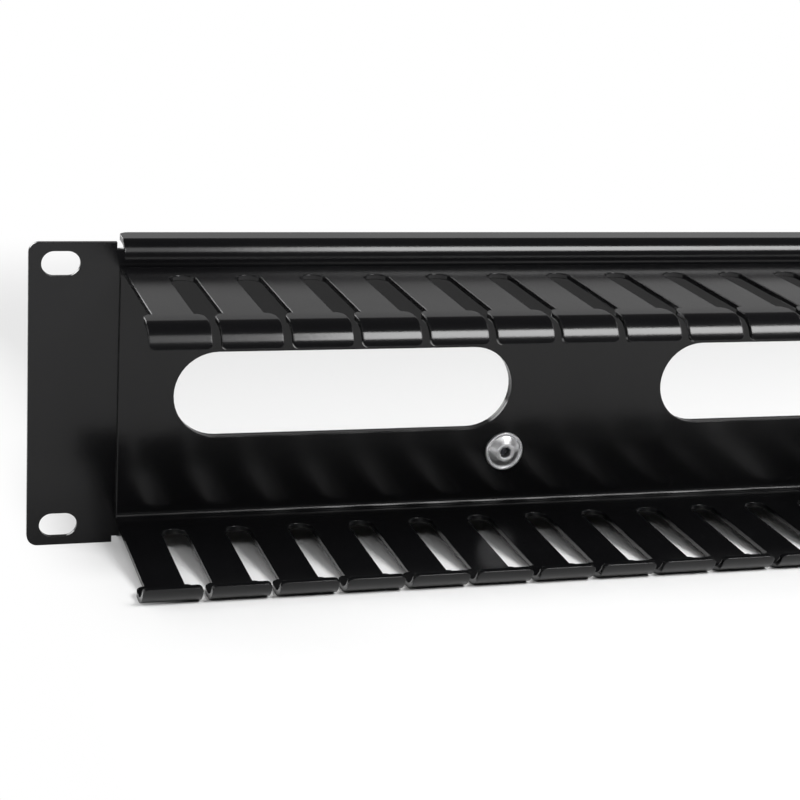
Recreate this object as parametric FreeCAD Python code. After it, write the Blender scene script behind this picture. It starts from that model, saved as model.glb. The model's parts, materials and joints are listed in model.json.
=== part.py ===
import FreeCAD, Part
import math
import os

# Horizontal cable manager for a 19-inch rack, two rack units high.
# A folded panel with rack ears carries a slotted duct, a second folded sheet that is held
# to the panel by four blind rivets. Cables run along the duct, leave it between its
# fingers and pass to the back of the rack through three long openings in both sheets.
# X runs along the panel, Y to the back of the rack and Z up. The origin is the middle of
# the panel's front face, the plane that the duct's back wall lies against.

Vector = FreeCAD.Vector

SHEET = 1.5  # thickness of both sheets
CUT_MARGIN = 5.0  # how far a cutting tool reaches past the sheet that it cuts

# Rack panel
PANEL_WIDTH = 482.6
PANEL_HEIGHT = 88.1
EAR_WIDTH = 26.1  # from the panel's end to the end of the folded rails
EAR_CORNER_RADIUS = 3.0
RACK_SLOT_LENGTH = 10.7
RACK_SLOT_HEIGHT = 7.0
RACK_SLOT_FROM_END = 8.75  # from the panel's end to the middle of a mounting slot
RACK_SLOT_FROM_TOP = 5.95  # from the panel's top or bottom to the middle of a slot
RAIL_DEPTH = 12.5  # the stiffening rails folded back along the top and the bottom
RAIL_INNER_RADIUS = 3.5
RAIL_CORNER_RADIUS = 3.0
RELIEF_WIDTH = 2.1  # the notch between a rail's end and the ear
RELIEF_DEPTH = 1.9

# Slotted duct
DUCT_FROM_END = 24.95  # from the panel's end to the end of the duct
DUCT_FROM_TOP = 6.45  # from the panel's top or bottom to the outside of a duct wall
DUCT_DEPTH = 66.3
ROOT_INNER_RADIUS = 1.5
LIP_INNER_RADIUS = 3.5
LIP_HEIGHT = 5.2  # from the outside of a wall to the free edge of its turned lip

# Fingers
FINGER_PITCH = 18.13
FINGER_WIDTH = 10.7
HEAD_OVERHANG = 2.5  # how far a finger's head stands out past its shaft on each side
HEAD_LENGTH = 15.5  # from the front of the duct back to the head's shoulders
SHOULDER_RADIUS = 2.2
TIP_RADIUS = 1.5
SLOT_ROOT = 12.0  # from the panel to the closed end of a slot

# Pass-through openings
OPENING_LENGTH = 101.6
OPENING_HEIGHT = 25.4
OPENING_FROM_END = 15.6  # from the duct's end to the end of the outer openings

# Blind rivets
RIVET_FROM_END = 116.35  # from the duct's end to the nearer column of rivets
RIVETS_Z = 40.0  # between the two rows of rivets
RIVET_SHANK = 6.0
RIVET_HOLE_CLEARANCE = 0.1  # between a shank and its hole, on the radius
RIVET_HEAD = 11.8
RIVET_HEAD_HEIGHT = 1.9
RIVET_RIM_HEIGHT = 0.8
RIVET_RIM_WIDTH = 0.9
RIVET_GROOVE_DEPTH = 0.35  # the ring-shaped groove between the rim and the coned middle
RIVET_COLLAR = 5.6
RIVET_TAIL = 7.6
RIVET_TAIL_LENGTH = 4.0
RIVET_TAIL_TAPER = 1.4
MANDREL = 3.0
MANDREL_CLEARANCE = 0.05  # between the mandrel and the rivet's bore, on the radius
MANDREL_RECESS = 0.9  # from the mouth of the rivet back to the broken mandrel
MANDREL_HEAD = 4.6
MANDREL_HEAD_LENGTH = 1.6

# Sizes that follow from the ones above
RAIL_LENGTH = PANEL_WIDTH - 2 * EAR_WIDTH
RACK_HOLES_X = PANEL_WIDTH - 2 * RACK_SLOT_FROM_END
RACK_HOLES_Z = PANEL_HEIGHT - 2 * RACK_SLOT_FROM_TOP
DUCT_LENGTH = PANEL_WIDTH - 2 * DUCT_FROM_END
DUCT_HEIGHT = PANEL_HEIGHT - 2 * DUCT_FROM_TOP
FINGER_SLOT = FINGER_PITCH - FINGER_WIDTH
FINGERS_PER_HALF = int((DUCT_LENGTH / 2 + FINGER_SLOT / 2) / FINGER_PITCH)
OPENING_REACH = DUCT_LENGTH / 2 - OPENING_FROM_END  # from the middle to the outer ends
OPENING_CENTRES = (OPENING_LENGTH / 2 - OPENING_REACH, 0, OPENING_REACH - OPENING_LENGTH / 2)
RIVETS_X = DUCT_LENGTH - 2 * RIVET_FROM_END


def corner_arc(before, corner, after, radius):
    """Return the start, the middle and the end of the arc that rounds a corner."""
    back = (before - corner).normalize()
    ahead = (after - corner).normalize()
    half_angle = back.getAngle(ahead) / 2
    reach = radius / math.tan(half_angle)
    inward = (back + ahead).normalize()
    centre = corner + inward * (radius / math.sin(half_angle))
    return corner + back * reach, centre - inward * radius, corner + ahead * reach


def rounded_path(corners, closed=True):
    """Join corners, given as (point, radius), with straight lines and tangent arcs."""
    edges = []
    stops = []
    for index, (point, radius) in enumerate(corners):
        inside = closed or 0 < index < len(corners) - 1
        if inside and radius > 0:
            before = corners[index - 1][0]
            after = corners[(index + 1) % len(corners)][0]
            start, middle, end = corner_arc(before, point, after, radius)
            edges.append((start, Part.Arc(start, middle, end).toShape()))
            stops.append((start, end))
        else:
            edges.append((point, None))
            stops.append((point, point))
    path = []
    for index, (_, arc) in enumerate(edges):
        if arc is not None:
            path.append(arc)
        if closed or index < len(edges) - 1:
            start = stops[index][1]
            end = stops[(index + 1) % len(stops)][0]
            if start.distanceToPoint(end) > 1e-6:
                path.append(Part.makeLine(start, end))
    return Part.Wire(path)


def prism(corners, direction):
    """Sweep the area inside rounded corners along a straight direction."""
    return Part.Face(rounded_path(corners)).extrude(direction)


def folded_sheet(corners, length):
    """Sweep a fold along X: the sheet lies to the right of its outer profile."""
    profile = rounded_path(corners, closed=False)
    section = profile.makeOffset2D(SHEET, fill=True, openResult=True)
    section.translate(Vector(-length / 2, 0, 0))
    return section.extrude(Vector(length, 0, 0))


def slot_tool(centre_x, centre_z, length, height):
    """Return a tool for a slot with round ends that runs through both sheets along Y."""
    left = centre_x - length / 2
    right = centre_x + length / 2
    low = centre_z - height / 2
    high = centre_z + height / 2
    front = -SHEET - CUT_MARGIN
    corners = [
        (Vector(left, front, low), height / 2),
        (Vector(right, front, low), height / 2),
        (Vector(right, front, high), height / 2),
        (Vector(left, front, high), height / 2),
    ]
    return prism(corners, Vector(0, 2 * (SHEET + CUT_MARGIN), 0))


def opening_tools():
    """Return the tools for the pass-through openings, the same in both sheets."""
    return [slot_tool(x, 0, OPENING_LENGTH, OPENING_HEIGHT) for x in OPENING_CENTRES]


def rivet_places():
    """Return the name and the (x, z) place of each rivet."""
    places = []
    for row, side_z in (("lower", -1), ("upper", 1)):
        for column, side_x in (("left", -1), ("right", 1)):
            place = (side_x * RIVETS_X / 2, side_z * RIVETS_Z / 2)
            places.append((row + "_" + column, place))
    return places


def rivet_hole_tools():
    """Return the tools for the rivet holes, the same in both sheets."""
    radius = RIVET_SHANK / 2 + RIVET_HOLE_CLEARANCE
    depth = 2 * (SHEET + CUT_MARGIN)
    tools = []
    for _, (x, z) in rivet_places():
        start = Vector(x, -SHEET - CUT_MARGIN, z)
        tools.append(Part.makeCylinder(radius, depth, start, Vector(0, 1, 0)))
    return tools


def rack_slot_tools():
    """Return the tools for the four mounting slots of the ears."""
    tools = []
    for side_x in (-1, 1):
        for side_z in (-1, 1):
            x = side_x * RACK_HOLES_X / 2
            z = side_z * RACK_HOLES_Z / 2
            tools.append(slot_tool(x, z, RACK_SLOT_LENGTH, RACK_SLOT_HEIGHT))
    return tools


def ear(side):
    """Return one flat rack ear, from the end of the rails to the end of the panel."""
    inner = side * RAIL_LENGTH / 2
    outer = side * PANEL_WIDTH / 2
    notch = side * (RAIL_LENGTH / 2 + RELIEF_WIDTH)
    top = PANEL_HEIGHT / 2
    shoulder = top - RELIEF_DEPTH
    corners = [
        (Vector(inner, 0, -shoulder), 0),
        (Vector(notch, 0, -shoulder), 0),
        (Vector(notch, 0, -top), 0),
        (Vector(outer, 0, -top), EAR_CORNER_RADIUS),
        (Vector(outer, 0, top), EAR_CORNER_RADIUS),
        (Vector(notch, 0, top), 0),
        (Vector(notch, 0, shoulder), 0),
        (Vector(inner, 0, shoulder), 0),
    ]
    return prism(corners, Vector(0, SHEET, 0))


def rail_corner_tool(side_x):
    """Return a tool that rounds the rear corners of the rails at one end."""
    end = side_x * RAIL_LENGTH / 2
    rear = RAIL_DEPTH
    radius = RAIL_CORNER_RADIUS
    inside = end - side_x * radius
    block = Part.makeBox(radius, radius, PANEL_HEIGHT + 2 * CUT_MARGIN)
    block.translate(Vector(min(end, inside), rear - radius, -PANEL_HEIGHT / 2 - CUT_MARGIN))
    bottom = Vector(inside, rear - radius, -PANEL_HEIGHT / 2 - CUT_MARGIN)
    return block.cut(Part.makeCylinder(radius, PANEL_HEIGHT + 2 * CUT_MARGIN, bottom))


def make_rack_panel():
    """Return the panel: ears, rails folded back, openings, rivet holes and rack slots."""
    top = PANEL_HEIGHT / 2
    outer_radius = RAIL_INNER_RADIUS + SHEET
    profile = [
        (Vector(0, RAIL_DEPTH, -top), 0),
        (Vector(0, 0, -top), outer_radius),
        (Vector(0, 0, top), outer_radius),
        (Vector(0, RAIL_DEPTH, top), 0),
    ]
    panel = folded_sheet(profile, RAIL_LENGTH)
    panel = panel.cut([rail_corner_tool(-1), rail_corner_tool(1)])
    panel = panel.fuse([ear(-1), ear(1)]).removeSplitter()
    return panel.cut(opening_tools() + rivet_hole_tools() + rack_slot_tools())


def finger_edges():
    """Return the left and right edge of each finger's shaft, from left to right."""
    left_half = []
    for index in range(FINGERS_PER_HALF):
        left = -DUCT_LENGTH / 2 + index * FINGER_PITCH
        left_half.append((left, left + FINGER_WIDTH))
    right_half = [(-right, -left) for left, right in reversed(left_half)]
    return left_half + right_half


def finger_gaps():
    """Return the facing shaft edges of each gap, with one open gap past either end."""
    edges = finger_edges()
    first = edges[0][0]
    last = edges[-1][1]
    between = [(near[1], far[0]) for near, far in zip(edges, edges[1:])]
    return [(first - FINGER_SLOT, first)] + between + [(last, last + FINGER_SLOT)]


def gap_tool(left, right):
    """Return a tool that parts two fingers, round at its root and narrow at their heads."""
    shoulder = HEAD_LENGTH - DUCT_DEPTH
    tip = -DUCT_DEPTH - CUT_MARGIN
    corners = [
        (Vector(left, -SLOT_ROOT, 0), FINGER_SLOT / 2),
        (Vector(right, -SLOT_ROOT, 0), FINGER_SLOT / 2),
        (Vector(right, shoulder, 0), 0),
        (Vector(right - HEAD_OVERHANG, shoulder, 0), SHOULDER_RADIUS),
        (Vector(right - HEAD_OVERHANG, tip, 0), 0),
        (Vector(left + HEAD_OVERHANG, tip, 0), 0),
        (Vector(left + HEAD_OVERHANG, shoulder, 0), SHOULDER_RADIUS),
        (Vector(left, shoulder, 0), 0),
    ]
    tool = prism(corners, Vector(0, 0, DUCT_HEIGHT + 2 * CUT_MARGIN))
    tool.translate(Vector(0, 0, -DUCT_HEIGHT / 2 - CUT_MARGIN))
    return tool


def tip_tool(left, right, side):
    """Return a tool that rounds the free corners of two neighbouring lips."""
    edge = side * (DUCT_HEIGHT / 2 - LIP_HEIGHT)
    arc_end = edge + side * TIP_RADIUS
    beyond = edge - side * CUT_MARGIN
    start = -DUCT_DEPTH - CUT_MARGIN
    near = left + HEAD_OVERHANG
    far = right - HEAD_OVERHANG
    corners = [
        (Vector(near, start, arc_end), 0),
        (Vector(near, start, edge), TIP_RADIUS),
        (Vector(near - TIP_RADIUS, start, edge), 0),
        (Vector(near - TIP_RADIUS, start, beyond), 0),
        (Vector(far + TIP_RADIUS, start, beyond), 0),
        (Vector(far + TIP_RADIUS, start, edge), 0),
        (Vector(far, start, edge), TIP_RADIUS),
        (Vector(far, start, arc_end), 0),
    ]
    return prism(corners, Vector(0, CUT_MARGIN + 2 * SHEET, 0))


def end_tool(side):
    """Return a tool that trims the solid part of the channel to the duct's length."""
    depth = SLOT_ROOT + FINGER_SLOT
    height = DUCT_HEIGHT + 2 * CUT_MARGIN
    tool = Part.makeBox(HEAD_OVERHANG + CUT_MARGIN, depth + CUT_MARGIN, height)
    start_x = DUCT_LENGTH / 2 if side > 0 else -DUCT_LENGTH / 2 - HEAD_OVERHANG - CUT_MARGIN
    tool.translate(Vector(start_x, -depth, -height / 2))
    return tool


def make_finger_duct():
    """Return the duct: a channel with lips, cut into two rows of fingers."""
    top = DUCT_HEIGHT / 2
    front = -DUCT_DEPTH
    edge = top - LIP_HEIGHT
    root_radius = ROOT_INNER_RADIUS + SHEET
    lip_radius = LIP_INNER_RADIUS + SHEET
    profile = [
        (Vector(0, front, edge), 0),
        (Vector(0, front, top), lip_radius),
        (Vector(0, 0, top), root_radius),
        (Vector(0, 0, -top), root_radius),
        (Vector(0, front, -top), lip_radius),
        (Vector(0, front, -edge), 0),
    ]
    duct = folded_sheet(profile, DUCT_LENGTH + 2 * HEAD_OVERHANG)
    tools = opening_tools() + rivet_hole_tools() + [end_tool(-1), end_tool(1)]
    for left, right in finger_gaps():
        tools.append(gap_tool(left, right))
        tools.append(tip_tool(left, right, -1))
        tools.append(tip_tool(left, right, 1))
    return duct.cut(tools)


def turned(corners, x, z):
    """Turn a section, given as (radius, y) corners, about an axis along Y."""
    section = Part.makePolygon([Vector(r, y, 0) for r, y in corners + corners[:1]])
    solid = Part.Face(section).revolve(Vector(0, 0, 0), Vector(0, 1, 0), 360)
    solid.translate(Vector(x, 0, z))
    return solid


def make_rivet(x, z):
    """Return a rivet's body: head on the duct, shank through both sheets, tail behind."""
    bore = MANDREL / 2 + MANDREL_CLEARANCE
    shank = RIVET_SHANK / 2
    rim = RIVET_HEAD / 2
    seat = -SHEET
    rim_face = seat - RIVET_RIM_HEIGHT
    mouth = seat - RIVET_HEAD_HEIGHT
    tail_end = SHEET + RIVET_TAIL_LENGTH
    return turned([
        (bore, tail_end),
        ((RIVET_TAIL - RIVET_TAIL_TAPER) / 2, tail_end),
        (RIVET_TAIL / 2, tail_end - RIVET_TAIL_TAPER),
        (RIVET_TAIL / 2, SHEET),
        (shank, SHEET),
        (shank, seat),
        (rim, seat),
        (rim, rim_face),
        (rim - RIVET_RIM_WIDTH, rim_face),
        (rim - RIVET_RIM_WIDTH, rim_face + RIVET_GROOVE_DEPTH),
        (RIVET_COLLAR / 2, mouth),
        (bore, mouth),
    ], x, z)


def make_mandrel(x, z):
    """Return the part of the mandrel that stays in a rivet: stem in the bore, head behind."""
    stem = MANDREL / 2
    broken_end = MANDREL_RECESS - SHEET - RIVET_HEAD_HEIGHT
    tail_end = SHEET + RIVET_TAIL_LENGTH
    head_end = tail_end + MANDREL_HEAD_LENGTH
    return turned([
        (0, broken_end),
        (stem, broken_end),
        (stem, tail_end),
        (MANDREL_HEAD / 2, tail_end),
        (MANDREL_HEAD / 2, head_end),
        (0, head_end),
    ], x, z)


def write_part(node, shape):
    """Write one piece to its own STEP file."""
    shape.exportStep("parts/" + node + ".step")


os.makedirs("parts", exist_ok=True)
write_part("rack_panel", make_rack_panel())
write_part("finger_duct", make_finger_duct())
for name, (place_x, place_z) in rivet_places():
    write_part("rivet_" + name, make_rivet(place_x, place_z))
    write_part("mandrel_" + name, make_mandrel(place_x, place_z))
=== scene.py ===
import json
import logging
import math
from dataclasses import dataclass, field
from enum import Enum

import bpy
from mathutils import Matrix, Vector

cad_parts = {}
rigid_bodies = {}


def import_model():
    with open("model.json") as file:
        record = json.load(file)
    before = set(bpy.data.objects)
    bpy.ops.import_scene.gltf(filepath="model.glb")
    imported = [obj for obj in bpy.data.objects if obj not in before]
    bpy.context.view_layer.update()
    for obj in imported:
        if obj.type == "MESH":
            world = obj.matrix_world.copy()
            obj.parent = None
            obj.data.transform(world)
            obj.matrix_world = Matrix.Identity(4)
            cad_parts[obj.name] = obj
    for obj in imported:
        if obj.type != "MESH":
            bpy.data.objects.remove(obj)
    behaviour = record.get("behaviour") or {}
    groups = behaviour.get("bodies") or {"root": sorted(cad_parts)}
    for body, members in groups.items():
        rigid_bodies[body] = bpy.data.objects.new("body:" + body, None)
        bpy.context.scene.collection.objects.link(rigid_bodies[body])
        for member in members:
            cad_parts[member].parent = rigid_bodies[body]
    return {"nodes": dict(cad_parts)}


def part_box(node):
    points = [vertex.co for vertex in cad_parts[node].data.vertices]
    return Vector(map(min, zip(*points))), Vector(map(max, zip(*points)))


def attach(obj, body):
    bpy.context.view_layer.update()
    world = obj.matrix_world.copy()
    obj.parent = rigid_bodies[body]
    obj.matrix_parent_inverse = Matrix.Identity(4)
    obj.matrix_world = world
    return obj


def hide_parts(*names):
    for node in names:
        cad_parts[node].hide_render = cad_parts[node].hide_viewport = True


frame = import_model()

# Looks of a horizontal rack cable manager: a black panel with a slotted finger duct.
#
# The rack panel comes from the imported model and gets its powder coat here. The slotted duct is
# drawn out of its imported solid, whose lips are tighter bends, and gets the same coat. The four
# blind rivets are turned again with finer detail, each in the place of its plain solids.

LOG = logging.getLogger("cable_manager")
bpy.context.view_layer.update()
MM = 0.001
MERGE_DISTANCE = 0.000001
WHITE = (1.0, 1.0, 1.0, 1.0)


class Slot(Enum):
    """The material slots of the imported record."""

    POWDER_COAT = "black_powder_coat"
    RIVET = "rivet_aluminium"
    MANDREL = "mandrel_steel"


def deselect_all() -> None:
    """Clear the selection, so that an operator acts on one piece only."""
    for item in bpy.context.view_layer.objects:
        item.select_set(False)


class NodeGraph:
    """A small helper that adds nodes to one node tree and links them."""

    def __init__(self, tree: bpy.types.NodeTree) -> None:
        """Remember the tree.

        Args:
            tree: the node tree that the helper works on.
        """
        self.tree = tree

    def add(self, kind: str, **settings: object) -> bpy.types.Node:
        """Add a node.

        Args:
            kind: the node's type name.
            settings: properties that are set on the node.

        Returns:
            The new node.
        """
        node = self.tree.nodes.new(kind)
        for name, value in settings.items():
            setattr(node, name, value)
        return node

    def link(self, source: bpy.types.NodeSocket, target: bpy.types.NodeSocket) -> None:
        """Link an output to an input.

        Args:
            source: the output.
            target: the input.
        """
        self.tree.links.new(source, target)

    def math(self, operation: str, first: object, second: object = 0.0) -> bpy.types.NodeSocket:
        """Add a Math node.

        Args:
            operation: the node's operation.
            first: a socket or a number.
            second: a socket or a number.

        Returns:
            The node's output.
        """
        node = self.add("ShaderNodeMath", operation=operation)
        for slot, value in zip(node.inputs, (first, second)):
            if isinstance(value, bpy.types.NodeSocket):
                self.link(value, slot)
            else:
                slot.default_value = value
        return node.outputs[0]

    def ramp(self, value: bpy.types.NodeSocket, low: float, high: float,
             start: float = 0.0, end: float = 1.0) -> bpy.types.NodeSocket:
        """Map a value smoothly from one range to another.

        Args:
            value: the socket to map.
            low: the value that gives start.
            high: the value that gives end.
            start: the result at low.
            end: the result at high.

        Returns:
            The mapped value.
        """
        node = self.add("ShaderNodeMapRange", interpolation_type="SMOOTHSTEP")
        self.link(value, node.inputs["Value"])
        node.inputs["From Min"].default_value = low
        node.inputs["From Max"].default_value = high
        node.inputs["To Min"].default_value = start
        node.inputs["To Max"].default_value = end
        return node.outputs["Result"]


class Effects:
    """The shader node groups that several finishes share."""

    PEEL_DETAIL = 2.0
    PEEL_ROUGHNESS = 0.45
    CLOUD_DETAIL = 3.0
    RING_DETAIL = 3.0
    SCRATCH_DETAIL = 4.0

    @staticmethod
    def _group(name: str, inputs: list[str], outputs: list[str]) -> bpy.types.NodeTree:
        """Return a new group whose sockets are plain values.

        Args:
            name: the group's name.
            inputs: the names of the inputs.
            outputs: the names of the outputs.

        Returns:
            The empty group, with its sockets made.
        """
        group = bpy.data.node_groups.new(name, "ShaderNodeTree")
        for label in inputs:
            group.interface.new_socket(label, in_out="INPUT", socket_type="NodeSocketFloat")
        for label in outputs:
            group.interface.new_socket(label, in_out="OUTPUT", socket_type="NodeSocketFloat")
        return group

    @classmethod
    def orange_peel(cls) -> bpy.types.NodeTree:
        """Return the fine waviness of a sprayed coat and the cloudiness of its gloss."""
        group = cls._group("orange peel", ["Peel Scale", "Cloud Scale"], ["Height", "Cloud"])
        graph = NodeGraph(group)
        source = graph.add("NodeGroupInput")
        result = graph.add("NodeGroupOutput")
        place = graph.add("ShaderNodeTexCoord").outputs["Object"]
        peel = graph.add("ShaderNodeTexNoise", noise_dimensions="3D")
        peel.inputs["Detail"].default_value = cls.PEEL_DETAIL
        peel.inputs["Roughness"].default_value = cls.PEEL_ROUGHNESS
        cloud = graph.add("ShaderNodeTexNoise", noise_dimensions="3D")
        cloud.inputs["Detail"].default_value = cls.CLOUD_DETAIL
        for node, label in ((peel, "Peel Scale"), (cloud, "Cloud Scale")):
            graph.link(place, node.inputs["Vector"])
            graph.link(source.outputs[label], node.inputs["Scale"])
        graph.link(peel.outputs["Fac"], result.inputs["Height"])
        graph.link(cloud.outputs["Fac"], result.inputs["Cloud"])
        return group

    @classmethod
    def turned_rings(cls) -> bpy.types.NodeTree:
        """Return fine rings about a rivet's axis and the faint scratches across them."""
        inputs = ["Centre X", "Centre Z", "Ring Scale", "Scratch Scale"]
        group = cls._group("turned rings", inputs, ["Rings", "Scratches"])
        graph = NodeGraph(group)
        source = graph.add("NodeGroupInput")
        result = graph.add("NodeGroupOutput")
        split = graph.add("ShaderNodeSeparateXYZ")
        graph.link(graph.add("ShaderNodeTexCoord").outputs["Object"], split.inputs[0])
        across = graph.math("SUBTRACT", split.outputs["X"], source.outputs["Centre X"])
        upward = graph.math("SUBTRACT", split.outputs["Z"], source.outputs["Centre Z"])
        squares = graph.math("ADD", graph.math("MULTIPLY", across, across),
                             graph.math("MULTIPLY", upward, upward))
        radius = graph.math("SQRT", squares)
        rings = graph.add("ShaderNodeTexNoise", noise_dimensions="1D")
        rings.inputs["Detail"].default_value = cls.RING_DETAIL
        graph.link(radius, rings.inputs["W"])
        graph.link(source.outputs["Ring Scale"], rings.inputs["Scale"])
        scratches = graph.add("ShaderNodeTexNoise", noise_dimensions="3D")
        scratches.inputs["Detail"].default_value = cls.SCRATCH_DETAIL
        graph.link(graph.add("ShaderNodeTexCoord").outputs["Object"], scratches.inputs["Vector"])
        graph.link(source.outputs["Scratch Scale"], scratches.inputs["Scale"])
        graph.link(rings.outputs["Fac"], result.inputs["Rings"])
        graph.link(scratches.outputs["Fac"], result.inputs["Scratches"])
        return group


@dataclass(frozen=True)
class PowderCoat:
    """Semi-gloss black powder coat with a fine orange peel. Lengths are in metres."""

    name: str = "black powder coat"
    colour: tuple[float, float, float] = (0.0025, 0.0025, 0.0028)
    cloud_tint: float = 1.8
    specular: float = 0.30
    smooth: float = 0.14
    cloudy: float = 0.20
    gloss_range: tuple[float, float] = (0.3, 0.7)
    peel_scale: float = 700.0
    cloud_scale: float = 16.0
    peel_depth: float = 0.000012
    peel_strength: float = 0.6
    edge_radius: float = 0.0005
    edge_samples: int = 6

    def make(self, peel: bpy.types.NodeTree) -> bpy.types.Material:
        """Build the coat.

        Args:
            peel: the node group with the coat's waviness.

        Returns:
            The material.
        """
        material = bpy.data.materials.new(self.name)
        material.use_nodes = True
        graph = NodeGraph(material.node_tree)
        shader = material.node_tree.nodes["Principled BSDF"]
        shader.inputs["Specular IOR Level"].default_value = self.specular
        effect = graph.add("ShaderNodeGroup", node_tree=peel)
        effect.inputs["Peel Scale"].default_value = self.peel_scale
        effect.inputs["Cloud Scale"].default_value = self.cloud_scale
        tint = graph.add("ShaderNodeMix", data_type="RGBA")
        tint.inputs["A"].default_value = (*self.colour, 1.0)
        tint.inputs["B"].default_value = (*[self.cloud_tint * part for part in self.colour], 1.0)
        graph.link(effect.outputs["Cloud"], tint.inputs["Factor"])
        graph.link(tint.outputs["Result"], shader.inputs["Base Color"])
        gloss = graph.ramp(effect.outputs["Cloud"], *self.gloss_range, self.smooth, self.cloudy)
        graph.link(gloss, shader.inputs["Roughness"])
        rounding = graph.add("ShaderNodeBevel", samples=self.edge_samples)
        rounding.inputs["Radius"].default_value = self.edge_radius
        bump = graph.add("ShaderNodeBump")
        bump.inputs["Strength"].default_value = self.peel_strength
        bump.inputs["Distance"].default_value = self.peel_depth
        graph.link(effect.outputs["Height"], bump.inputs["Height"])
        graph.link(rounding.outputs["Normal"], bump.inputs["Normal"])
        graph.link(bump.outputs["Normal"], shader.inputs["Normal"])
        return material


@dataclass(frozen=True)
class TurnedMetal:
    """Bare metal of a blind rivet, with fine rings about its axis. Lengths are in metres."""

    name: str
    bright: tuple[float, float, float]
    dull: tuple[float, float, float]
    polish: float
    wear: float
    tint_range: tuple[float, float] = (0.35, 0.75)
    gloss_range: tuple[float, float] = (0.3, 0.7)
    ring_scale: float = 2600.0
    scratch_scale: float = 900.0
    ring_depth: float = 0.00002
    ring_strength: float = 0.10

    def make(self, rings: bpy.types.NodeTree, centre: tuple[float, float]) -> bpy.types.Material:
        """Build the metal for one rivet.

        Args:
            rings: the node group with the turned rings.
            centre: the rivet's place along X and Z, in metres.

        Returns:
            The material.
        """
        material = bpy.data.materials.new(self.name)
        material.use_nodes = True
        graph = NodeGraph(material.node_tree)
        shader = material.node_tree.nodes["Principled BSDF"]
        shader.inputs["Metallic"].default_value = 1.0
        effect = graph.add("ShaderNodeGroup", node_tree=rings)
        effect.inputs["Centre X"].default_value = centre[0]
        effect.inputs["Centre Z"].default_value = centre[1]
        effect.inputs["Ring Scale"].default_value = self.ring_scale
        effect.inputs["Scratch Scale"].default_value = self.scratch_scale
        tint = graph.add("ShaderNodeMix", data_type="RGBA")
        tint.inputs["A"].default_value = (*self.bright, 1.0)
        tint.inputs["B"].default_value = (*self.dull, 1.0)
        dulled = graph.ramp(effect.outputs["Scratches"], *self.tint_range)
        graph.link(dulled, tint.inputs["Factor"])
        graph.link(tint.outputs["Result"], shader.inputs["Base Color"])
        gloss = graph.ramp(effect.outputs["Scratches"], *self.gloss_range, self.polish, self.wear)
        graph.link(gloss, shader.inputs["Roughness"])
        bump = graph.add("ShaderNodeBump")
        bump.inputs["Strength"].default_value = self.ring_strength
        bump.inputs["Distance"].default_value = self.ring_depth
        graph.link(effect.outputs["Rings"], bump.inputs["Height"])
        graph.link(bump.outputs["Normal"], shader.inputs["Normal"])
        return material


@dataclass
class TurnedPiece:
    """A round piece, shaped from a disc or a ring by extruding and scaling, as on a lathe."""

    name: str
    sides: int = 72
    piece: bpy.types.Object = field(init=False)
    radius: float = field(init=False)
    height: float = field(init=False)

    def start(self, radius: float, height: float, fill: str = "NGON") -> None:
        """Add a disc or a ring across Z and go into edit mode with all of it selected.

        Args:
            radius: the disc's radius in millimetres.
            height: the disc's height in millimetres.
            fill: NGON for a disc that ends a solid stem, NOTHING for a ring with a bore in it.
        """
        deselect_all()
        bpy.ops.mesh.primitive_circle_add(vertices=self.sides, radius=radius * MM,
                                          fill_type=fill, location=(0, 0, 0))
        self.piece = bpy.context.object
        self.piece.name = self.name
        self.piece.data.name = self.name
        self.radius = radius
        self.height = height
        bpy.ops.object.mode_set(mode="EDIT")
        bpy.ops.mesh.select_all(action="SELECT")
        bpy.ops.transform.translate(value=(0, 0, height * MM))

    def step(self, radius: float, height: float) -> None:
        """Extrude the selected end to a new radius and height.

        Args:
            radius: the new radius in millimetres.
            height: the new height in millimetres.
        """
        rise = (height - self.height) * MM
        bpy.ops.mesh.extrude_region_move(TRANSFORM_OT_translate={"value": (0, 0, rise)})
        share = radius / self.radius
        bpy.ops.transform.resize(value=(share, share, 1.0), center_override=(0, 0, height * MM))
        self.radius = radius
        self.height = height

    def finish(self, x: float, z: float, smooth_below: float) -> bpy.types.Object:
        """Close the piece, turn its axis to the front and put it in its place.

        Args:
            x: the axis's place along X, in metres.
            z: the axis's place along Z, in metres.
            smooth_below: the angle in degrees below which an edge is shaded smooth.

        Returns:
            The finished piece.
        """
        bpy.ops.mesh.select_all(action="SELECT")
        bpy.ops.mesh.remove_doubles(threshold=MERGE_DISTANCE)
        bpy.ops.mesh.normals_make_consistent(inside=False)
        bpy.ops.object.mode_set(mode="OBJECT")
        self.piece.rotation_euler = (math.radians(90), 0, 0)
        self.piece.location = (x, 0, z)
        bpy.ops.object.transform_apply(location=True, rotation=True, scale=True)
        bpy.ops.object.shade_smooth_by_angle(angle=math.radians(smooth_below))
        return self.piece


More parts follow.
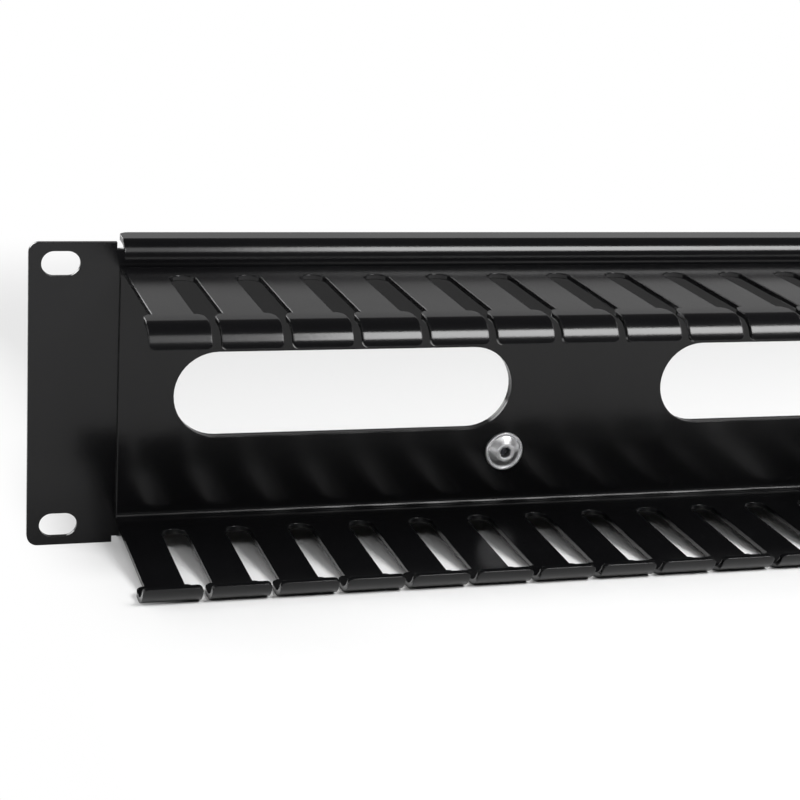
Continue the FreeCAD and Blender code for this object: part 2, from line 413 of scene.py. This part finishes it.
@dataclass
class BlindRivet:
    """One blind rivet that holds the duct to the panel.

    Lengths are in millimetres. The smoothing angles are in degrees.
    """

    place: str
    sheet: float = 1.5
    head_radius: float = 5.9
    shank_radius: float = 3.0
    tail_radius: float = 3.8
    tail_length: float = 4.0
    bore_radius: float = 1.55
    body_smooth: float = 40.0
    stem_radius: float = 1.5
    stem_recess: float = 0.3
    stem_sides: int = 40
    knob_radius: float = 2.3
    knob_length: float = 1.6
    mandrel_smooth: float = 35.0

    def head_profile(self) -> list[tuple[float, float]]:
        """Return (radius, height above the seat) from the rim inwards to the mouth."""
        return [
            (self.head_radius, 0.00), (self.head_radius, 0.48), (5.85, 0.64), (5.72, 0.75),
            (5.50, 0.80), (5.20, 0.78), (5.04, 0.68), (4.98, 0.52), (4.92, 0.46),
            (4.84, 0.50), (4.62, 0.70), (4.20, 1.02), (3.75, 1.32), (3.30, 1.58),
            (3.00, 1.75), (2.86, 1.86), (2.72, 1.90), (1.95, 1.90), (1.75, 1.84),
            (1.62, 1.70), (1.57, 1.40), (self.bore_radius, 1.10),
        ]

    def tail_profile(self) -> list[tuple[float, float]]:
        """Return (radius, height above the tail's end) from the bore outwards to the shoulder."""
        return [
            (2.6, 0.0), (2.95, 0.14), (3.25, 0.45), (3.5, 0.9), (3.7, 1.5),
            (self.tail_radius, 2.3),
        ]

    def body(self, centre: tuple[float, float]) -> bpy.types.Object:
        """Shape the rivet's body: head, shank, tail and the bore through them.

        Args:
            centre: the rivet's place along X and Z, in metres.

        Returns:
            The piece.
        """
        seat = self.sheet
        end = -self.sheet - self.tail_length
        turned = TurnedPiece("rivet_body_" + self.place)
        rim, *inwards = self.head_profile()
        turned.start(rim[0], seat + rim[1], "NOTHING")
        for radius, height in inwards:
            turned.step(radius, seat + height)
        turned.step(self.bore_radius, end)
        for radius, height in self.tail_profile():
            turned.step(radius, end + height)
        turned.step(self.tail_radius, -seat)
        turned.step(self.shank_radius, -seat)
        turned.step(self.shank_radius, seat)
        turned.step(self.head_radius, seat)
        return turned.finish(centre[0], centre[1], self.body_smooth)

    def mandrel(self, centre: tuple[float, float]) -> bpy.types.Object:
        """Shape the mandrel that stays in the rivet: the knob at its end and the broken stem.

        Args:
            centre: the rivet's place along X and Z, in metres.

        Returns:
            The piece.
        """
        front = self.sheet - self.stem_recess
        end = -self.sheet - self.tail_length
        turned = TurnedPiece("rivet_mandrel_" + self.place, sides=self.stem_sides)
        turned.start(self.knob_radius, end - self.knob_length)
        for radius, height in (
            (1.95, end - self.knob_length), (self.knob_radius, end - 1.25),
            (self.knob_radius, end), (self.stem_radius, end), (self.stem_radius, front - 0.35),
            (1.38, front - 0.12), (1.1, front), (0.7, front - 0.22), (0.3, front - 0.30),
        ):
            turned.step(radius, height)
        return turned.finish(centre[0], centre[1], self.mandrel_smooth)


@dataclass(frozen=True)
class LipBend:
    """The turned lip at the front of a duct wall, seen along the duct.

    Lengths are in millimetres and the angle is in radians. The flat wall ends at flat_end along
    Y. There the bend starts, with its radius measured to the outer face. After the bend comes
    lip_flat, the straight rest up to the free edge.
    """

    flat_end: float
    radius: float
    angle: float
    lip_flat: float

    @property
    def arc_length(self) -> float:
        """Return the length of the bend along the outer face."""
        return self.radius * self.angle

    @property
    def length(self) -> float:
        """Return the length of the outer face from the end of the flat wall to the free edge."""
        return self.arc_length + self.lip_flat

    def measure(self, y: float, height: float, top: float) -> tuple[float, float]:
        """Unroll a point of the lip.

        Args:
            y: the point's place along Y.
            height: its distance from the middle of the duct.
            top: the height of the wall's outer face.

        Returns:
            The distance past the end of the flat wall, and the depth below the outer face.
        """
        forward = self.flat_end - y
        if forward <= 0:
            return forward, top - height
        upward = height - (top - self.radius)
        if upward >= 0:
            turned = math.atan2(forward, upward)
            return self.radius * turned, self.radius - math.hypot(forward, upward)
        return self.arc_length - upward, self.radius - forward

    def place(self, run: float, depth: float, top: float) -> tuple[float, float]:
        """Roll a point of the unrolled lip up again.

        Args:
            run: the distance past the end of the flat wall.
            depth: the depth below the outer face.
            top: the height of the wall's outer face.

        Returns:
            The point's place along Y and its distance from the middle of the duct.
        """
        turned = min(run / self.radius, self.angle)
        past = run - self.radius * turned
        reach = self.radius - depth
        y = self.flat_end - reach * math.sin(turned) - past * math.cos(turned)
        height = top - self.radius + reach * math.cos(turned) - past * math.sin(turned)
        return y, height


@dataclass
class SlottedDuct:
    """The slotted duct, whose heads get the long open bend of the real lips.

    Lengths are in millimetres and angles in radians. A wall's points at the places
    shoulder_from along Y move to shoulder_to, and those between them move with them.
    """

    packed: LipBend = LipBend(flat_end=-61.3, radius=5.0, angle=math.radians(90), lip_flat=0.2)
    drawn: LipBend = LipBend(flat_end=-57.3, radius=7.5, angle=math.radians(76), lip_flat=0.2)
    cut_spacing: float = 0.5
    shoulder_from: tuple[float, ...] = (-45.0, -50.8, -53.0, -57.3)
    shoulder_to: tuple[float, ...] = (-45.0, -51.6, -55.0, -57.3)
    smooth_below: float = math.radians(30)

    def cut_rows(self, piece: bpy.types.Object) -> None:
        """Cut rows of edges across the heads where the longer bend will lie.

        Args:
            piece: the duct, in edit mode.
        """
        rows = round((self.drawn.flat_end - self.packed.flat_end) / self.cut_spacing)
        for row in range(rows):
            y = self.drawn.flat_end - row * self.cut_spacing
            bpy.ops.mesh.select_all(action="SELECT")
            bpy.ops.mesh.bisect(plane_co=(0, y * MM, 0), plane_no=(0, 1, 0))
        LOG.info("%s: %d rows cut", piece.name, rows)

    def shift_shoulder(self, y: float) -> float:
        """Find where a point of a flat wall lies once the shoulders are drawn out.

        Args:
            y: the point's place along Y.

        Returns:
            Its new place along Y.
        """
        for index in range(1, len(self.shoulder_from)):
            start = self.shoulder_from[index - 1]
            end = self.shoulder_from[index]
            if end <= y <= start:
                share = (y - start) / (end - start)
                return self.shoulder_to[index - 1] + share * (
                    self.shoulder_to[index] - self.shoulder_to[index - 1])
        return y

    def redraw(self, place: Vector, top: float) -> Vector:
        """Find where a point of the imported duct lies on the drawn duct.

        Args:
            place: the point, in metres.
            top: the height of the duct wall's outer face, in millimetres.

        Returns:
            The new place, in metres.
        """
        y = place.y / MM
        height = abs(place.z) / MM
        if y >= self.drawn.flat_end:
            return Vector((place.x, self.shift_shoulder(y) * MM, place.z))
        run, depth = self.packed.measure(y, height, top)
        extra = self.drawn.flat_end - self.packed.flat_end
        share = self.drawn.length / (self.packed.length + extra)
        new_y, new_height = self.drawn.place((run + extra) * share, depth, top)
        return Vector((place.x, new_y * MM, math.copysign(new_height * MM, place.z)))

    def build(self) -> bpy.types.Object:
        """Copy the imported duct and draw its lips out.

        Returns:
            The finished piece.
        """
        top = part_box("finger_duct")[1].z / MM
        deselect_all()
        mesh = frame["nodes"]["finger_duct"].data.copy()
        mesh.name = "slotted_duct"
        piece = bpy.data.objects.new("slotted_duct", mesh)
        bpy.context.scene.collection.objects.link(piece)
        bpy.context.view_layer.objects.active = piece
        piece.select_set(True)
        bpy.ops.mesh.customdata_custom_splitnormals_clear()
        bpy.ops.object.mode_set(mode="EDIT")
        bpy.ops.mesh.select_all(action="SELECT")
        bpy.ops.mesh.remove_doubles(threshold=MERGE_DISTANCE)
        self.cut_rows(piece)
        bpy.ops.object.mode_set(mode="OBJECT")
        for vertex in piece.data.vertices:
            vertex.co = self.redraw(vertex.co, top)
        bpy.ops.object.mode_set(mode="EDIT")
        bpy.ops.mesh.select_all(action="SELECT")
        bpy.ops.mesh.normals_make_consistent(inside=False)
        bpy.ops.object.mode_set(mode="OBJECT")
        bpy.ops.object.shade_smooth_by_angle(angle=self.smooth_below)
        return piece


class Body:
    """The whole cable manager: two coated sheets and four rivets."""

    def __init__(self) -> None:
        """Build the shared effects and finishes."""
        self.peel = Effects.orange_peel()
        self.rings = Effects.turned_rings()
        self.coat = PowderCoat()
        self.aluminium = TurnedMetal("rivet aluminium", bright=(0.90, 0.90, 0.91),
                                     dull=(0.80, 0.80, 0.82), polish=0.34, wear=0.40)
        self.steel = TurnedMetal("mandrel steel", bright=(0.10, 0.10, 0.11),
                                 dull=(0.05, 0.05, 0.06), polish=0.50, wear=0.65)

    def coat_sheets(self) -> None:
        """Give both folded sheets the powder coat."""
        material = self.coat.make(self.peel)
        duct = SlottedDuct().build()
        for sheet in (frame["nodes"]["rack_panel"], duct):
            sheet.data.materials.clear()
            sheet.data.materials.append(material)
            LOG.info("%s: %s", sheet.name, material.name)
        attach(duct, "root")
        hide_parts("finger_duct")

    def add_rivets(self) -> None:
        """Turn the four rivets in the places of their plain solids."""
        for place in ("lower_left", "lower_right", "upper_left", "upper_right"):
            low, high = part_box("rivet_" + place)
            centre = ((low.x + high.x) / 2, (low.z + high.z) / 2)
            rivet = BlindRivet(place)
            pairs = (
                (rivet.body(centre), self.aluminium, Slot.RIVET, "rivet_"),
                (rivet.mandrel(centre), self.steel, Slot.MANDREL, "mandrel_"),
            )
            for piece, finish, slot, prefix in pairs:
                piece.data.materials.append(finish.make(self.rings, centre))
                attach(piece, "root")
                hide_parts(prefix + place)
                LOG.info("%s: %d faces", piece.name, len(piece.data.polygons))


@dataclass(frozen=True)
class Lamp:
    """A rectangular soft lamp. Its middle, the point that it faces and its sides are in metres.

    The radiance says how bright its face is, where white is 1.
    """

    name: str
    centre: tuple[float, float, float]
    target: tuple[float, float, float]
    size: tuple[float, float]
    radiance: float

    def add(self) -> None:
        """Add the lamp to the scene, with its first side along X where it faces Y."""
        data = bpy.data.lights.new(self.name, "AREA")
        data.shape = "RECTANGLE"
        data.size, data.size_y = self.size
        data.energy = self.radiance * math.pi * self.size[0] * self.size[1]
        lamp = bpy.data.objects.new(self.name, data)
        bpy.context.scene.collection.objects.link(lamp)
        direction = Vector(self.target) - Vector(self.centre)
        lamp.matrix_world = (Matrix.Translation(self.centre)
                             @ direction.to_track_quat("-Z", "Y").to_matrix().to_4x4())


# The bright softbox in front above the right half, the weak fill beside it, one lamp at each
# side and one behind.
LAMPS = (
    Lamp("key softbox", (0.435, -0.734, 0.974), (0.435, -0.087, -0.037), (0.63, 0.587), 19.0),
    Lamp("fill softbox", (-0.49, -0.734, 0.974), (-0.49, -0.087, -0.037), (1.2, 0.587), 2.4),
    Lamp("left softbox", (-1.25, 0.25, 0.50), (-0.1, 0.0, -0.03), (0.9, 0.9), 2.0),
    Lamp("rear softbox", (-0.80, 1.70, 0.42), (-0.1, 0.0, -0.03), (1.0, 0.8), 4.0),
    Lamp("right softbox", (1.25, 0.25, 0.50), (0.1, 0.0, -0.03), (0.9, 0.9), 2.0),
)


@dataclass(frozen=True)
class Studio:
    """A pale floor, a white backdrop, soft lamps and the camera that was fitted to the photo.

    Lengths are in metres, but the lens and its sensor are in millimetres. The floor turns to
    plain white between the two distances of floor_fade from its middle, and between the two
    places of side_fade along X. The backdrop's glow dies out between the two heights of
    glow_height, and grows from glow_front to glow_rear between the two depths of glow_depth.
    """

    floor_tilt: float = math.radians(6.37)
    floor_size: float = 8.0
    floor_grey: float = 0.80
    floor_fade: tuple[float, float] = (0.34, 0.80)
    side_fade: tuple[float, float] = (-0.205, -0.245)
    glow_height: tuple[float, float] = (0.12, 0.46)
    glow_depth: tuple[float, float] = (-0.2, 0.5)
    glow_front: float = 0.08
    glow_rear: float = 0.50
    glow_least: float = 0.06
    camera_place: tuple[float, float, float] = (-0.29583, -0.50870, 0.16221)
    camera_right: tuple[float, float, float] = (0.95646, -0.28468, 0.06441)
    camera_up: tuple[float, float, float] = (0.02579, 0.30223, 0.95289)
    camera_forward: tuple[float, float, float] = (0.29073, 0.90973, -0.29641)
    focal_length: float = 85.6035
    sensor_width: float = 36.0
    clip_start: float = 0.01
    clip_end: float = 50.0

    def add_camera(self) -> None:
        """Put the camera where the photograph was taken from."""
        data = bpy.data.cameras.new("camera")
        data.lens = self.focal_length
        data.sensor_width = self.sensor_width
        data.clip_start = self.clip_start
        data.clip_end = self.clip_end
        camera = bpy.data.objects.new("camera", data)
        bpy.context.scene.collection.objects.link(camera)
        back = [-part for part in self.camera_forward]
        turn = Matrix((self.camera_right, self.camera_up, back)).transposed()
        camera.matrix_world = Matrix.Translation(self.camera_place) @ turn.to_4x4()
        bpy.context.scene.camera = camera

    def add_floor(self, lowest: float) -> None:
        """Lay the floor under the panel's lower edge and the tips of the lower fingers.

        Args:
            lowest: the height of the panel's lower edge, in metres.
        """
        deselect_all()
        bpy.ops.mesh.primitive_plane_add(size=self.floor_size, location=(0, 0, lowest),
                                         rotation=(-self.floor_tilt, 0, 0))
        floor = bpy.context.object
        floor.name = "floor"
        floor.data.materials.append(self.floor_material())

    def floor_material(self) -> bpy.types.Material:
        """Return a pale matt floor that fades to plain white and is clear from below."""
        material = bpy.data.materials.new("pale floor")
        material.use_nodes = True
        tree = material.node_tree
        tree.nodes.clear()
        graph = NodeGraph(tree)
        matt = graph.add("ShaderNodeBsdfDiffuse")
        matt.inputs["Color"].default_value = (*[self.floor_grey] * 3, 1.0)
        white = graph.add("ShaderNodeEmission")
        white.inputs["Color"].default_value = WHITE
        white.inputs["Strength"].default_value = 1.0
        place = graph.add("ShaderNodeTexCoord").outputs["Object"]
        length = graph.add("ShaderNodeVectorMath", operation="LENGTH")
        graph.link(place, length.inputs[0])
        path = graph.add("ShaderNodeLightPath")
        far = graph.ramp(length.outputs["Value"], *self.floor_fade)
        split = graph.add("ShaderNodeSeparateXYZ")
        graph.link(place, split.inputs[0])
        beside = graph.ramp(split.outputs["X"], *self.side_fade)
        plain = graph.math("MAXIMUM", far, beside)
        share = graph.math("MULTIPLY", plain, path.outputs["Is Camera Ray"])
        mix = graph.add("ShaderNodeMixShader")
        graph.link(share, mix.inputs[0])
        graph.link(matt.outputs[0], mix.inputs[1])
        graph.link(white.outputs[0], mix.inputs[2])
        clear = graph.add("ShaderNodeBsdfTransparent")
        back = graph.add("ShaderNodeMixShader")
        graph.link(graph.add("ShaderNodeNewGeometry").outputs["Backfacing"], back.inputs[0])
        graph.link(mix.outputs[0], back.inputs[1])
        graph.link(clear.outputs[0], back.inputs[2])
        graph.link(back.outputs[0], graph.add("ShaderNodeOutputMaterial").inputs["Surface"])
        return material

    def add_world(self) -> None:
        """Surround the object with plain white for the camera and a weak glow for all else."""
        world = bpy.data.worlds.new("studio")
        bpy.context.scene.world = world
        world.use_nodes = True
        tree = world.node_tree
        tree.nodes.clear()
        graph = NodeGraph(tree)
        split = graph.add("ShaderNodeSeparateXYZ")
        graph.link(graph.add("ShaderNodeTexCoord").outputs["Generated"], split.inputs[0])
        low = graph.ramp(split.outputs["Z"], *self.glow_height, 1.0, 0.0)
        behind = graph.ramp(split.outputs["Y"], *self.glow_depth, self.glow_front, self.glow_rear)
        glow = graph.math("ADD", graph.math("MULTIPLY", low, behind), self.glow_least)
        path = graph.add("ShaderNodeLightPath")
        seen = graph.math("MAXIMUM", glow, path.outputs["Is Camera Ray"])
        background = graph.add("ShaderNodeBackground")
        background.inputs["Color"].default_value = WHITE
        graph.link(seen, background.inputs["Strength"])
        graph.link(background.outputs[0], graph.add("ShaderNodeOutputWorld").inputs["Surface"])

    def build(self, lowest: float) -> None:
        """Build the whole studio.

        Args:
            lowest: the height of the panel's lower edge, in metres.
        """
        bpy.context.scene.view_settings.view_transform = "Standard"
        self.add_camera()
        self.add_floor(lowest)
        self.add_world()
        for lamp in LAMPS:
            lamp.add()


def main() -> None:
    """Build the looks and the studio."""
    logging.basicConfig(level=logging.INFO, format="%(message)s")
    body = Body()
    body.coat_sheets()
    body.add_rivets()
    Studio().build(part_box("rack_panel")[0].z)


if __name__ == "__main__":
    main()
